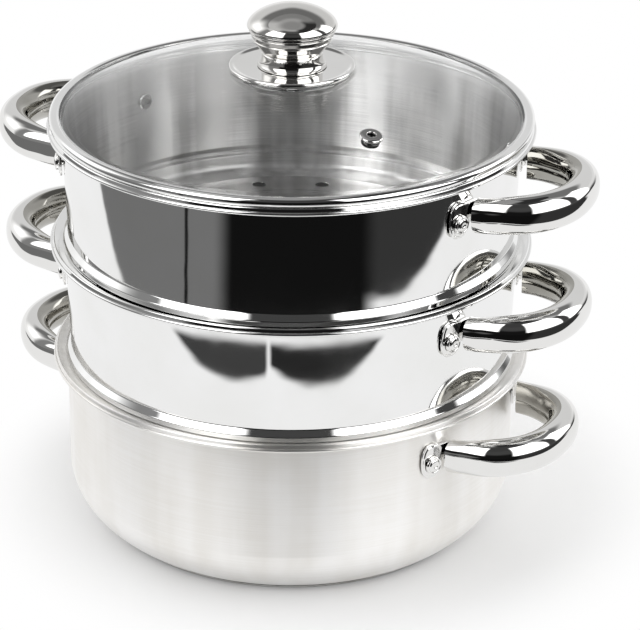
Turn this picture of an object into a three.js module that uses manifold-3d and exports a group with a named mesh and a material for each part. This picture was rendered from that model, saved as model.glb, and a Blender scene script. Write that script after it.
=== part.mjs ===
// A stainless steel three-tier steamer pot: a pot, two steamer tiers and a domed glass lid.
// Millimetres, +Z up, origin on the floor under the middle of the pot.
import * as THREE from 'three';
import { mergeVertices } from 'three/addons/utils/BufferGeometryUtils.js';
import Module from 'manifold-3d';

const wasm = await Module();
wasm.setup();

// Levels
const potHeight = 96.9; // floor to the top of the pot's rim
const tierPitch = 63.65; // from one rim's top to the next one's
const lowerTurn = 5.2; // degrees that the lower tier is set down turned from the pot
const upperTurn = 6.8; // degrees that the upper tier is set down turned from the pot

// Clearances
const gap = 0.3; // between pieces that touch on the real pot
const holeClearance = 0.3; // round a shank in its hole
const overrun = 2.0; // how far a cutter runs past what it cuts

// Walls of all three vessels
const sheet = 1.0;
const wallRadius = 119.6; // outside, just under the rim
const mouthRadius = wallRadius - sheet;

// Rolled rim, the same on all three vessels, down from its top and in from its edge
const rimReach = 7.4; // how far its edge stands out from the wall
const rimRadius = wallRadius + rimReach;
const rimHeight = 3.9;
const beadRadius = 1.0; // roll at the rim's outer edge
const ridgeInset = 2.1; // from the edge in to the ridge's crest
const ridgeRound = 0.8;
const ridgeWrap = 120; // degrees round the ridge, down to the slope into the mouth
const ledgeDepth = 2.0; // the ledge inside the rim, where the next piece rests
const ledgeWidth = 1.8;

// Pot
const discInset = 20.9; // from the wall in to the edge of the bonded base disc
const discRadius = wallRadius - discInset;
const discHeight = 1.8;
const discBevel = 0.5;
const cornerHeight = 30.0; // where the wall starts to turn in
const cornerPull = 11.0; // height of the curve's control point above the pot's bottom
const cornerSteps = 4;
const cornerInset = 2.0; // of the same point, in from the wall
const footInset = 1.5; // from the pot's flat bottom in to the disc's edge

// Steamer tier, measured from the top of the rim it rests in
const wallTaper = 2.0; // the wall is this much narrower at its foot
const creaseHeight = 4.35; // where the wall meets its foot
const shoulderHeight = 1.2; // the foot bead's shoulder
const footClearance = 0.6; // between the foot bead and the rim around it
const footRadius = mouthRadius + ledgeWidth - footClearance;
const collarInset = 2.0; // the collar inside the mouth below
const collarRadius = mouthRadius - collarInset;
const collarDepth = 10.0; // down to the underside of the floor
const collarCorner = 5.0;
const floorStepInset = 36.6; // from the collar in to where the floor is pressed up
const floorStepRadius = collarRadius - floorStepInset;
const floorStepHeight = 1.0;
const floorStepWidth = 2.0;

// Steam holes, in three rings, each so far in from the collar
const holeDiameter = 7.2;
const holeSides = 6;
const outerHoleInset = 26.6;
const middleHoleInset = 45.6;
const innerHoleInset = 68.6;
const holeRows = 16;
const innerHoleRows = 8;

// Handles, down from the rim's top
const handleDrop = 21.6; // to the tube's centreline at the wall
const potHandleDrop = 23.2; // the same on the pot
const handleLift = 2.9; // rise of the centreline out to its tip
const loopReach = 37.0; // from the wall out to the tip's centreline
const loopHalfWidth = 39.6;
const loopTrim = 9.6; // of the half loop, cut off at the wall
const loopDepth = loopReach + loopTrim;
const loopPower = 2.3; // squareness of the loop
const loopSteps = 12;
const tubeWidth = 16.0;
const tubeHeight = 19.6;
const tubeEndWidth = 10.8; // pinched at the wall
const tubeEndHeight = 18.4;
const tubePinchLength = 20.0;
const tubePower = 2.2;
const tubeSides = 10;
const creaseDepth = 0.7; // seam along the tube's inner side
const tubeEndGap = 3.4; // from the wall to the tube's cut end

// Brackets
const earBeyond = 9.6; // from the loop's side out to the middle of the ear
const earAngle = THREE.MathUtils.radToDeg(Math.asin((loopHalfWidth + earBeyond) / wallRadius));
const earWidth = 13.6;
const earHeight = 19.2;
const earThickness = 1.6;
const earPower = 2.5;
const earSides = 10;
const strapHeight = 8.0;
const strapRise = 4.2; // middle of the strap above the middle of the ear
const strapBeyond = 2.1; // from the loop's side in to the strap's end
const strapReach = earBeyond + strapBeyond;
const stemLength = 7.4; // into the tube's end
const rivetDrop = 1.8; // of the rivet below the middle of the ear

// Rivets
const rivetShank = 5.0;
const rivetHead = 9.6;
const rivetHeadHeight = 2.3;
const rivetTail = 9.0;
const rivetTailHeight = 1.6;
const rivetSides = 8;

// Lid, up from the top of the upper tier's rim
const bandInset = 1.1; // of the band's edge, in from the rim's edge
const bandRadius = rimRadius - bandInset;
const bandGap = 1.0; // the band's edge hangs clear of the rim's ridge
const bandEdgeWidth = 1.7; // from the edge in to the groove
const bandEdgeHeight = 1.9;
const bandRound = 0.5;
const bandGrooveRadius = bandRadius - bandEdgeWidth;
const bandBeadRadius = 1.15;
const beadWrap = 150; // degrees round the inner bead
const bandWeb = 0.8; // metal beside and under the glass
const skirtThickness = 1.0;
const skirtClearance = 0.5;
const glassThickness = 3.5;
const glassInset = 1.9; // from the groove in to the edge of the glass
const glassRadius = bandGrooveRadius - glassInset;
const glassRimWidth = 2.7; // flat rim of the glass inside the band
const domeRise = 24.6;
const domeSteps = 3;
const glassSeat = 0.4; // underside of the glass
const bandLip = 0.6; // metal over the edge of the glass
const bandHeight = glassSeat + glassThickness + gap + bandLip; // to the top of the inner bead
const domeEdge = glassRadius - glassRimWidth;
const domeSphere = (domeEdge ** 2 + domeRise ** 2) / (2 * domeRise);

// Vent eyelet
const ventInset = 36.4; // from the edge of the dome
const ventPlace = domeEdge - ventInset; // from the lid's middle
const ventAngle = -33.0;
const ventBore = 4.5;
const ventBarrel = 7.0;
const ventFlange = 12.0;
const ventFlangeHeight = 1.4;
const ventSides = 10;

// Knob, up from the flat of the glass
const knobDiscRadius = 32.8;
const knobDiscThickness = 1.1;
const knobDiscLipWidth = 1.8;
const knobDiscLipRise = 2.3; // of the disc's crest above its lower edge
const knobDiscRound = 0.6;
const knobDiscCrest = knobDiscRadius - knobDiscLipWidth;
const glassLand = knobDiscCrest; // the glass is flat under the disc
const knobCapRadius = 23.3;
const knobCapTuck = 0.9; // the seam under the cap lies this much in from its widest place
const knobSeamRadius = knobCapRadius - knobCapTuck;
const knobFlangeHeight = 2.0; // upright edge under the seam
const knobFlareRadius = knobSeamRadius - 2 * gap;
const knobFlareHeight = 3.4; // from the flange down to the ridge
const knobRidgeDepth = 1.2; // from the flare in to the ridge
const knobRidgeRadius = knobFlareRadius - knobRidgeDepth;
const knobWaistDepth = 4.9; // from the ridge in to the waist
const knobWaistRadius = knobRidgeRadius - knobWaistDepth;
const knobThroatHeight = 7.6; // from the ridge down to the crease
const knobGrooveDepth = 0.5;
const knobNeckHeight = 7.2; // from the crease down to the foot
const knobFootStep = 2.3; // from the waist out to the foot's edge
const knobFootRadius = knobWaistRadius + knobFootStep;
const knobCapHeight = 12.0;
const knobCapEdge = 0.9; // from the cap's base up to its widest place
const knobCapPower = 1.75; // roundness of the dome
const knobCapSteps = 6;
const knobSpigotDepth = 2.8; // from the waist in to the spigot under the cap
const knobSpigotRadius = knobWaistRadius - knobSpigotDepth;
const knobSpigotHeight = 3.0;
const knobSides = 18;
const boltDiameter = 6.0;
const boltCover = 5.8; // metal of the neck over the bolt's tip
const boltHead = 12.0;
const boltHeadHeight = 3.2;
const washerDiameter = 20.0;
const washerThickness = 1.6;

// Facets of the large round pieces, and how far their flats lie in from their corners
const turnSides = 32;
const flatShare = 1 - Math.cos(Math.PI / turnSides);

// Materials
const polished = new THREE.MeshStandardMaterial({ color: 0xd9dadc, roughness: 0.12, metalness: 1 });
const satin = new THREE.MeshStandardMaterial({ color: 0xd2d0cd, roughness: 0.35, metalness: 1 });
const chrome = new THREE.MeshStandardMaterial({ color: 0xe6e7e8, roughness: 0.05, metalness: 1 });
const rubber = new THREE.MeshStandardMaterial({ color: 0xd8d8d4, roughness: 0.7, metalness: 0 });
const clear = new THREE.MeshStandardMaterial({
  color: 0xf4f8f7,
  roughness: 0.03,
  metalness: 0,
  transparent: true,
  opacity: 0.35,
});

// Small helpers
const radians = THREE.MathUtils.degToRad;

function named(name, geometry, material) {
  const mesh = new THREE.Mesh(geometry, material);
  mesh.name = name;
  return mesh;
}

// Points [radius, height] of a round stretch, from one angle to another in degrees.
function arc(radius, height, bend, from, to, steps) {
  const points = [];
  for (let i = 0; i <= steps; i += 1) {
    const angle = radians(from + ((to - from) * i) / steps);
    points.push([radius + bend * Math.cos(angle), height + bend * Math.sin(angle)]);
  }
  return points;
}

// A smooth bend between two points, pulled toward a third.
function bend(start, pull, end, steps) {
  const curve = new THREE.QuadraticBezierCurve(
    new THREE.Vector2(...start),
    new THREE.Vector2(...pull),
    new THREE.Vector2(...end),
  );
  return curve.getPoints(steps).map((point) => [point.x, point.y]);
}

// A solid of revolution about Z: its outside is listed upwards, then its inside downwards.
function turned(profile, sides) {
  const points = profile.map(([radius, height]) => new THREE.Vector2(radius, height));
  const onAxis = points[0].x === 0 && points[points.length - 1].x === 0;
  if (!onAxis) points.push(points[0].clone());
  return new THREE.LatheGeometry(points, sides).rotateX(Math.PI / 2);
}

// A closed surface from a ring of points, the same number at every station, capped at both ends.
function lofted(rings) {
  const count = rings[0].length;
  const positions = rings.flat().flatMap((point) => point.toArray());
  const index = [];
  for (let i = 0; i < rings.length - 1; i += 1) {
    for (let j = 0; j < count; j += 1) {
      const k = (j + 1) % count;
      const [a, b] = [i * count + j, i * count + k];
      index.push(a, b + count, b, a, a + count, b + count);
    }
  }
  for (const [ring, first, flip] of [
    [rings[0], 0, false],
    [rings[rings.length - 1], (rings.length - 1) * count, true],
  ]) {
    const middle = new THREE.Vector3();
    ring.forEach((point) => middle.addScaledVector(point, 1 / count));
    const hub = positions.length / 3;
    positions.push(...middle.toArray());
    for (let j = 0; j < count; j += 1) {
      const [a, b] = [first + j, first + ((j + 1) % count)];
      index.push(hub, ...(flip ? [b, a] : [a, b]));
    }
  }
  const geometry = new THREE.BufferGeometry();
  geometry.setAttribute('position', new THREE.Float32BufferAttribute(positions, 3));
  geometry.setIndex(index);
  return geometry;
}

// The same surface with each corner stored once
function welded(geometry) {
  const bare = geometry.clone();
  bare.deleteAttribute('normal');
  bare.deleteAttribute('uv');
  return mergeVertices(bare);
}

function toSolid(geometry) {
  const merged = welded(geometry);
  return new wasm.Manifold(
    new wasm.Mesh({
      numProp: 3,
      vertProperties: new Float32Array(merged.attributes.position.array),
      triVerts: new Uint32Array(merged.index.array),
    }),
  );
}

function toGeometry(solid) {
  const mesh = solid.getMesh();
  const geometry = new THREE.BufferGeometry();
  geometry.setAttribute('position', new THREE.Float32BufferAttribute(mesh.vertProperties, 3));
  geometry.setIndex(Array.from(mesh.triVerts));
  return geometry;
}

function cut(geometry, cutters) {
  return toGeometry(cutters.reduce((solid, cutter) => solid.subtract(toSolid(cutter)), toSolid(geometry)));
}

function joined(geometries) {
  return toGeometry(geometries.map(toSolid).reduce((solid, piece) => solid.add(piece)));
}

// A superellipse's point at an angle, for half sizes and a squareness.
function superellipse(halfWidth, halfHeight, power, angle) {
  const [c, s] = [Math.cos(angle), Math.sin(angle)];
  return [
    halfWidth * Math.sign(c) * Math.abs(c) ** (2 / power),
    halfHeight * Math.sign(s) * Math.abs(s) ** (2 / power),
  ];
}

// A cylinder along Z whose middle is at the origin.
function post(diameter, height, sides) {
  return new THREE.CylinderGeometry(diameter / 2, diameter / 2, height, sides).rotateX(Math.PI / 2);
}

// Rolled rim, from the wall's outside round the bead and the ridge to the mouth's edge
function rimProfile(top) {
  const beadMiddle = top - rimHeight + beadRadius;
  const ridge = rimRadius - ridgeInset;
  return [
    [wallRadius, top - rimHeight],
    ...arc(rimRadius - beadRadius, beadMiddle, beadRadius, -90, 90, 2),
    ...arc(ridge, top - ridgeRound, ridgeRound, 0, ridgeWrap, 2),
    [mouthRadius + ledgeWidth, top - ledgeDepth],
    [mouthRadius, top - ledgeDepth],
  ];
}

// Outside radius of a vessel's wall, at a distance below its rim's top
function wallAt(drop, taper) {
  const wallHeight = tierPitch - creaseHeight - rimHeight;
  return wallRadius - (taper * (drop - rimHeight)) / wallHeight;
}

// Pot
function potBody() {
  const bottom = discHeight + gap;
  const flat = discRadius + footInset;
  const pull = wallRadius - cornerInset;
  const outside = bend(
    [flat, bottom],
    [pull, bottom + cornerPull],
    [wallRadius, cornerHeight],
    cornerSteps,
  );
  const inside = bend(
    [mouthRadius, cornerHeight],
    [pull - sheet, bottom + sheet + cornerPull],
    [flat - sheet, bottom + sheet],
    cornerSteps,
  );
  return turned(
    [[0, bottom], ...outside, ...rimProfile(potHeight), ...inside, [0, bottom + sheet]],
    turnSides,
  );
}

function baseDisc() {
  const profile = [
    [0, 0],
    [discRadius - discBevel, 0],
    [discRadius, discBevel],
    [discRadius, discHeight],
    [0, discHeight],
  ];
  return turned(profile, turnSides);
}

// Steamer tier, whose rim's top is given, and which rests in the rim one pitch lower
function tierBody(top) {
  const seat = top - tierPitch;
  const footBottom = seat - ledgeDepth + gap;
  const shoulder = seat + shoulderHeight;
  const crease = seat + creaseHeight;
  const floor = seat - collarDepth;
  const stepInner = floorStepRadius - floorStepWidth;
  const creaseRadius = wallRadius - wallTaper;
  const cornerMiddle = collarRadius - collarCorner;
  const profile = [
    [0, floor + floorStepHeight],
    [stepInner, floor + floorStepHeight],
    [floorStepRadius, floor],
    ...arc(cornerMiddle, floor + collarCorner, collarCorner, -90, 0, 2),
    [collarRadius, footBottom],
    [footRadius, footBottom],
    [footRadius, shoulder],
    [creaseRadius, crease],
    ...rimProfile(top),
    [creaseRadius - sheet, crease],
    [footRadius - sheet, shoulder],
    [footRadius - sheet, footBottom + sheet],
    [collarRadius - sheet, footBottom + sheet],
    ...arc(cornerMiddle, floor + collarCorner, collarCorner - sheet, 0, -90, 2),
    [floorStepRadius, floor + sheet],
    [stepInner, floor + sheet + floorStepHeight],
    [0, floor + sheet + floorStepHeight],
  ];
  return cut(turned(profile, turnSides), steamHoles(floor));
}

// Rings of holes, set so that the handles point between two rows
function steamHoles(floor) {
  const rings = [
    [outerHoleInset, holeRows],
    [middleHoleInset, holeRows],
    [innerHoleInset, innerHoleRows],
  ];
  const depth = sheet + floorStepHeight + overrun * 2;
  return rings.flatMap(([inset, rows]) =>
    Array.from({ length: rows }, (_, row) => {
      const radius = collarRadius - inset;
      const angle = ((row + 0.5) * 2 * Math.PI) / rows;
      return post(holeDiameter, depth, holeSides).translate(
        radius * Math.cos(angle),
        radius * Math.sin(angle),
        floor + (sheet + floorStepHeight) / 2,
      );
    }),
  );
}

// Handle, along +X from the wall; its height is that of the tube's middle at the wall
function handlePath(share) {
  const angle = (share - 0.5) * Math.PI;
  const [reach, across] = superellipse(loopDepth, loopHalfWidth, loopPower, angle);
  const tip = wallRadius + loopReach;
  const out = tip - loopDepth + reach;
  const rise = handleLift * Math.max(0, (out - wallRadius) / loopReach);
  return new THREE.Vector3(out, across, rise);
}

function tubeRing(share) {
  const step = 0.5 / loopSteps;
  const middle = handlePath(share);
  const ahead = handlePath(Math.min(1, share + step));
  const behind = handlePath(Math.max(0, share - step));
  const along = ahead.sub(behind).normalize();
  const side = new THREE.Vector3(along.y, -along.x, 0).normalize();
  const up = side.clone().cross(along);
  const pinch = THREE.MathUtils.smoothstep(middle.x - wallRadius, 0, tubePinchLength);
  const halfWidth = THREE.MathUtils.lerp(tubeEndWidth, tubeWidth, pinch) / 2;
  const halfHeight = THREE.MathUtils.lerp(tubeEndHeight, tubeHeight, pinch) / 2;
  return Array.from({ length: tubeSides }, (_, i) => {
    const angle = (i * 2 * Math.PI) / tubeSides;
    const [w, h] = superellipse(halfWidth, halfHeight, tubePower, angle);
    const onSeam = i === tubeSides / 2;
    return middle
      .clone()
      .addScaledVector(side, onSeam ? w + creaseDepth : w)
      .addScaledVector(up, h);
  });
}

function handleTube(radius) {
  const rings = Array.from({ length: loopSteps + 1 }, (_, i) => tubeRing(i / loopSteps));
  const wall = post((radius + tubeEndGap) * 2, tubeHeight * 2, turnSides * 2);
  const slots = [-1, 1].map((end) => stem(radius, end, holeClearance));
  return cut(lofted(rings), [wall, ...slots]);
}

// The frame of an ear: its X runs along the wall away from the handle, its Y into the pot
function atEar(geometry, radius, end) {
  const angle = radians(earAngle * end);
  const piece = end < 0 ? mirrored(geometry) : geometry;
  return piece.translate(0, -radius, 0).rotateZ(angle + Math.PI / 2);
}

// The mirror image across the YZ plane, with its faces still pointing out
function mirrored(geometry) {
  const image = welded(geometry).scale(-1, 1, 1);
  image.index.array.reverse();
  return image;
}

// The tongue that runs from the strap into the tube's end, larger by a clearance all round
function stem(radius, end, clearance) {
  const length = stemLength + clearance;
  const block = new THREE.BoxGeometry(
    earThickness + clearance * 2,
    length,
    strapHeight - earThickness + clearance * 2,
  );
  block.translate(0, -length / 2, strapRise);
  block.rotateZ(radians(-earAngle));
  block.translate(-strapReach, -gap - earThickness / 2, 0);
  return atEar(block, radius, end);
}

function bracket(radius, end) {
  const outline = Array.from({ length: earSides }, (_, i) => {
    const angle = (i * 2 * Math.PI) / earSides;
    return new THREE.Vector2(...superellipse(earWidth / 2, earHeight / 2, earPower, angle));
  });
  const ear = new THREE.ExtrudeGeometry(new THREE.Shape(outline), {
    depth: earThickness,
    bevelEnabled: false,
  });
  ear.rotateX(Math.PI / 2).translate(0, -gap, 0);
  const strapEnd = strapReach + earThickness / 2;
  const strap = new THREE.BoxGeometry(strapEnd, earThickness, strapHeight);
  strap.translate(-strapEnd / 2, -gap - earThickness / 2, strapRise);
  const hole = post(rivetShank + holeClearance * 2, earThickness + overrun * 2, rivetSides);
  hole.rotateX(Math.PI / 2).translate(0, -gap, -rivetDrop);
  const blank = joined([atEar(ear, radius, end), atEar(strap, radius, end), stem(radius, end, 0)]);
  return cut(blank, [atEar(hole, radius, end)]);
}

function rivetHole(radius, end) {
  const hole = post(rivetShank + holeClearance * 2, (sheet + overrun) * 2, rivetSides);
  return atEar(hole.rotateX(Math.PI / 2).translate(0, 0, -rivetDrop), radius, end);
}

// Domed head outside the ear, shank through the ear and the wall, flat tail inside
function rivet(radius, end, inside) {
  const headBase = gap + earThickness + gap;
  const tailBase = inside * (1 - flatShare) - radius - gap;
  const profile = [
    [0, tailBase - rivetTailHeight],
    [rivetTail / 2 - rivetTailHeight, tailBase - rivetTailHeight],
    [rivetTail / 2, tailBase],
    [rivetShank / 2, tailBase],
    [rivetShank / 2, headBase],
    [rivetHead / 2, headBase],
    ...bend(
      [rivetHead / 2, headBase + rivetHeadHeight / 4],
      [rivetHead / 2, headBase + rivetHeadHeight],
      [0, headBase + rivetHeadHeight],
      2,
    ),
  ];
  const turnedOut = turned(profile, rivetSides).rotateX(Math.PI / 2);
  return atEar(turnedOut.translate(0, 0, -rivetDrop), radius, end);
}

// A vessel with its two handles: the wall is drilled for the rivets
function vessel(name, body, rimTop, drop, taper, finish) {
  const level = rimTop - drop;
  const radius = wallAt(drop - earHeight / 2, taper);
  const rivetWall = wallAt(drop + rivetDrop, taper);
  const group = new THREE.Group();
  const drills = [];
  for (const [side, turn] of [['right', 0], ['left', Math.PI]]) {
    const place = (geometry) => geometry.rotateZ(turn).translate(0, 0, level);
    const handle = `${name}_handle_${side}`;
    group.add(named(`${handle}_tube`, place(handleTube(radius)), chrome));
    for (const [where, end] of [['near', -1], ['far', 1]]) {
      group.add(named(`${handle}_bracket_${where}`, place(bracket(radius, end)), chrome));
      group.add(named(`${handle}_rivet_${where}`, place(rivet(radius, end, rivetWall - sheet)), chrome));
      drills.push(place(rivetHole(radius, end)));
    }
  }
  group.add(named(`${name}_body`, cut(body, drills), finish));
  return group;
}

// Lid band: outer edge, groove, inner bead, slot for the glass and a skirt that rests on the ledge
function lidBand(rimTop) {
  const edgeBottom = rimTop + bandGap;
  const edgeTop = edgeBottom + bandEdgeHeight;
  const skirtBottom = rimTop - ledgeDepth + gap;
  const skirtRadius = mouthRadius + ledgeWidth - skirtClearance;
  const slotRadius = glassRadius + gap;
  const slotFloor = rimTop + glassSeat - gap;
  const slotTop = rimTop + glassSeat + glassThickness + gap;
  const beadMiddle = bandGrooveRadius - bandBeadRadius - bandRound;
  const beadHeight = rimTop + bandHeight - bandBeadRadius;
  return turned(
    [
      [skirtRadius, skirtBottom],
      [skirtRadius, slotFloor - bandWeb],
      [slotRadius, slotFloor - bandWeb],
      [slotRadius + bandWeb, slotFloor],
      [slotRadius + bandWeb, edgeBottom],
      ...arc(bandRadius - bandRound, edgeBottom + bandRound, bandRound, -90, 0, 1),
      ...arc(bandRadius - bandRound, edgeTop - bandRound, bandRound, 0, 90, 1),
      [bandGrooveRadius, edgeTop],
      ...arc(beadMiddle, beadHeight, bandBeadRadius, 0, beadWrap, 2),
      [beadMiddle - bandBeadRadius, slotTop],
      [slotRadius, slotTop],
      [slotRadius, slotFloor],
      [skirtRadius - skirtThickness, slotFloor],
      [skirtRadius - skirtThickness, skirtBottom],
    ],
    turnSides,
  );
}

// How far the dome has dropped from its crown at a distance from the middle
function domeDrop(radius) {
  return domeSphere - Math.sqrt(domeSphere ** 2 - radius ** 2);
}

// Points up one face of the dome, from its rim to the flat land in its middle
function domeFace(edgeRadius, crown) {
  const from = THREE.MathUtils.radToDeg(Math.acos(edgeRadius / domeSphere));
  const to = THREE.MathUtils.radToDeg(Math.acos(glassLand / domeSphere));
  return arc(0, crown - domeSphere, domeSphere, from, to, domeSteps);
}

// Top of the glass before its land is ground flat
function crownAt(rimTop) {
  return rimTop + glassSeat + glassThickness + domeRise;
}

function glassDome(rimTop) {
  const under = rimTop + glassSeat;
  const over = under + glassThickness;
  const crown = crownAt(rimTop);
  const land = crown - domeDrop(glassLand);
  const bore = boltDiameter / 2 + holeClearance;
  const profile = [
    [glassRadius, under],
    [glassRadius, over],
    ...domeFace(domeEdge, crown),
    [bore, land],
    [bore, land - glassThickness],
    ...domeFace(domeEdge, crown - glassThickness).reverse(),
  ];
  const drill = onDome(post(ventBarrel + holeClearance * 2, glassThickness * 4, ventSides), rimTop);
  return cut(turned(profile, turnSides), [drill]);
}

// Stands a piece on the glass at the vent's place, square to the dome
function onDome(geometry, rimTop) {
  return geometry
    .translate(0, 0, domeSphere)
    .rotateY(Math.asin(ventPlace / domeSphere))
    .rotateZ(radians(ventAngle))
    .translate(0, 0, crownAt(rimTop) - domeSphere);
}

function ventEyelet(rimTop) {
  const under = -glassThickness - gap * 2;
  const profile = [
    [ventBarrel / 2, under],
    [ventBarrel / 2, gap],
    [ventFlange / 2, gap],
    ...bend(
      [ventFlange / 2, gap + ventFlangeHeight / 3],
      [ventFlange / 2, gap + ventFlangeHeight],
      [ventBore / 2, gap + ventFlangeHeight],
      3,
    ),
    [ventBore / 2, under - ventFlangeHeight],
    [ventFlange / 2 - ventFlangeHeight, under - ventFlangeHeight],
    [ventFlange / 2 - ventFlangeHeight, under],
  ];
  return onDome(turned(profile, ventSides), rimTop);
}

// Knob: a saucer on the glass, a waisted neck, a round cap, and the bolt that holds them
function knob(rimTop) {
  const crown = crownAt(rimTop);
  const bore = boltDiameter / 2 + holeClearance;
  const lip = crown + gap - domeDrop(knobDiscRadius);
  const crest = lip + knobDiscLipRise;
  const boss = crown + gap - domeDrop(glassLand);
  const dish = boss + knobDiscThickness;
  const disc = turned(
    [
      [knobDiscRadius - knobDiscThickness, lip],
      [knobDiscRadius - gap, lip],
      [knobDiscRadius, lip + knobDiscThickness],
      [knobDiscRadius - knobDiscRound, crest],
      [knobDiscCrest, crest],
      [knobDiscCrest - knobDiscLipWidth, dish],
      [bore, dish],
      [bore, boss],
      [knobDiscCrest - knobDiscRound, boss],
    ],
    knobSides,
  );
  const foot = dish + gap;
  const crease = foot + knobNeckHeight;
  const ridge = crease + knobThroatHeight;
  const flange = ridge + knobFlareHeight;
  const seam = flange + knobFlangeHeight;
  const boltTop = seam + knobSpigotHeight - boltCover;
  const neck = turned(
    [
      [bore, foot],
      [knobFootRadius, foot],
      ...bend(
        [knobFootRadius, foot + gap],
        [knobWaistRadius, foot + knobGrooveDepth],
        [knobWaistRadius, crease - knobGrooveDepth],
        3,
      ),
      [knobWaistRadius - knobGrooveDepth, crease],
      [knobWaistRadius, crease + knobGrooveDepth],
      [knobRidgeRadius, ridge - knobGrooveDepth],
      [knobRidgeRadius - knobGrooveDepth, ridge],
      [knobRidgeRadius, ridge + knobGrooveDepth],
      [knobFlareRadius, flange - knobGrooveDepth],
      [knobFlareRadius - knobGrooveDepth, flange],
      [knobSeamRadius, flange + knobGrooveDepth],
      [knobSeamRadius, seam],
      [knobSpigotRadius, seam],
      [knobSpigotRadius, seam + knobSpigotHeight],
      [0, seam + knobSpigotHeight],
      [0, boltTop],
      [bore, boltTop],
    ],
    knobSides,
  );
  const capBase = seam + gap;
  const capDome = Array.from({ length: knobCapSteps + 1 }, (_, i) => {
    const angle = (i / knobCapSteps) * (Math.PI / 2);
    const rise = knobCapHeight - knobCapEdge;
    const [radius, height] = superellipse(knobCapRadius, rise, knobCapPower, angle);
    return [i < knobCapSteps ? radius : 0, capBase + knobCapEdge + height];
  });
  const topShell = turned(
    [
      [0, seam + knobSpigotHeight + gap],
      [knobSpigotRadius + gap, seam + knobSpigotHeight + gap],
      [knobSpigotRadius + gap, capBase],
      [knobSeamRadius, capBase],
      ...capDome,
    ],
    knobSides,
  );
  const washerTop = crown - domeDrop(glassLand) - glassThickness - gap;
  const washer = turned(
    [
      [bore, washerTop - washerThickness],
      [washerDiameter / 2, washerTop - washerThickness],
      [washerDiameter / 2, washerTop],
      [bore, washerTop],
    ],
    knobSides,
  );
  const headTop = washerTop - washerThickness - gap;
  const bolt = turned(
    [
      [0, headTop - boltHeadHeight],
      [boltHead / 2 - boltHeadHeight / 2, headTop - boltHeadHeight],
      [boltHead / 2, headTop],
      [boltDiameter / 2, headTop],
      [boltDiameter / 2, boltTop - gap],
      [0, boltTop - gap],
    ],
    knobSides / 2,
  );
  const group = new THREE.Group();
  group.add(named('lid_knob_disc', disc, chrome));
  group.add(named('lid_knob_neck', neck, chrome));
  group.add(named('lid_knob_cap', topShell, chrome));
  group.add(named('lid_knob_washer', washer, rubber));
  group.add(named('lid_knob_bolt', bolt, polished));
  return group;
}

// Assembly
const lowerTop = potHeight + tierPitch;
const upperTop = lowerTop + tierPitch;

const pot = vessel('pot', potBody(), potHeight, potHandleDrop, 0, satin);
pot.add(named('pot_base_disc', baseDisc(), satin));

const lowerTier = vessel(
  'steamer_lower',
  tierBody(lowerTop),
  lowerTop,
  handleDrop,
  wallTaper,
  polished,
);
lowerTier.rotation.z = radians(lowerTurn);

const upperTier = vessel(
  'steamer_upper',
  tierBody(upperTop),
  upperTop,
  handleDrop,
  wallTaper,
  polished,
);
upperTier.rotation.z = radians(upperTurn);

const lid = knob(upperTop);
lid.add(named('lid_rim_band', lidBand(upperTop), polished));
lid.add(named('lid_glass', glassDome(upperTop), clear));
lid.add(named('lid_vent_eyelet', ventEyelet(upperTop), chrome));

const steamer = new THREE.Group();
steamer.add(pot, lowerTier, upperTier, lid);

export default steamer;
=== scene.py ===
"""Looks of a stainless steel three-tier steamer pot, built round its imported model.

Sizes are millimetres, as in the part's source, and become metres when a mesh is made.
"""

import math

import bmesh
import bpy
from mathutils import Matrix, Vector


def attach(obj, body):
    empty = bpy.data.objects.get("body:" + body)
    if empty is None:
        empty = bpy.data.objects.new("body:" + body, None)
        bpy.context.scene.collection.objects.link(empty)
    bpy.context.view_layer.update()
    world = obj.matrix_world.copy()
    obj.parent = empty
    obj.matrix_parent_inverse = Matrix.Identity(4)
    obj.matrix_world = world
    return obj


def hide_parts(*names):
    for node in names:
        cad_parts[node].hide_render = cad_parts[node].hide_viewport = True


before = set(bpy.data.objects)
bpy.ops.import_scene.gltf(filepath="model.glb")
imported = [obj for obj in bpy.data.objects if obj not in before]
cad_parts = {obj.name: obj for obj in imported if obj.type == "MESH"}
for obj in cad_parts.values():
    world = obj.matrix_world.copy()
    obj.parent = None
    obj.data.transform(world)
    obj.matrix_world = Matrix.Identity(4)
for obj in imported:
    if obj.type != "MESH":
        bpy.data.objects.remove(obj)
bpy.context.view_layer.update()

MM = 0.001

# Levels
POT_HEIGHT = 96.9
TIER_PITCH = 63.65
LOWER_TURN = 5.2
UPPER_TURN = 6.8
LOWER_TOP = POT_HEIGHT + TIER_PITCH
UPPER_TOP = LOWER_TOP + TIER_PITCH
GAP = 0.3

# Walls and rim of all three vessels
SHEET = 1.0
WALL_RADIUS = 119.6
MOUTH_RADIUS = WALL_RADIUS - SHEET
RIM_RADIUS = 127.0
RIM_HEIGHT = 3.9
BEAD_RADIUS = 1.0
RIDGE_INSET = 2.1
RIDGE_ROUND = 0.8
RIDGE_WRAP = 120
LEDGE_DEPTH = 2.0
LEDGE_WIDTH = 1.8
LEDGE_ROUND = 0.5
RIDGE_SLOPE_WIDTH = 1.0
RIDGE_SLOPE_HEIGHT = 0.46
LIP_DEPTH = 1.0
LIP_ROUND = 0.4

# Pot
DISC_RADIUS = 98.7
DISC_HEIGHT = 1.8
DISC_BEVEL = 0.4
DISC_GROOVE = 0.85
DISC_SLOPE = 6.0
CORNER_HEIGHT = 30.0
CORNER_PULL = 11.0
CORNER_INSET = 2.0
CORNER_STEPS = 28
FOOT_INSET = 1.5

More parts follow.
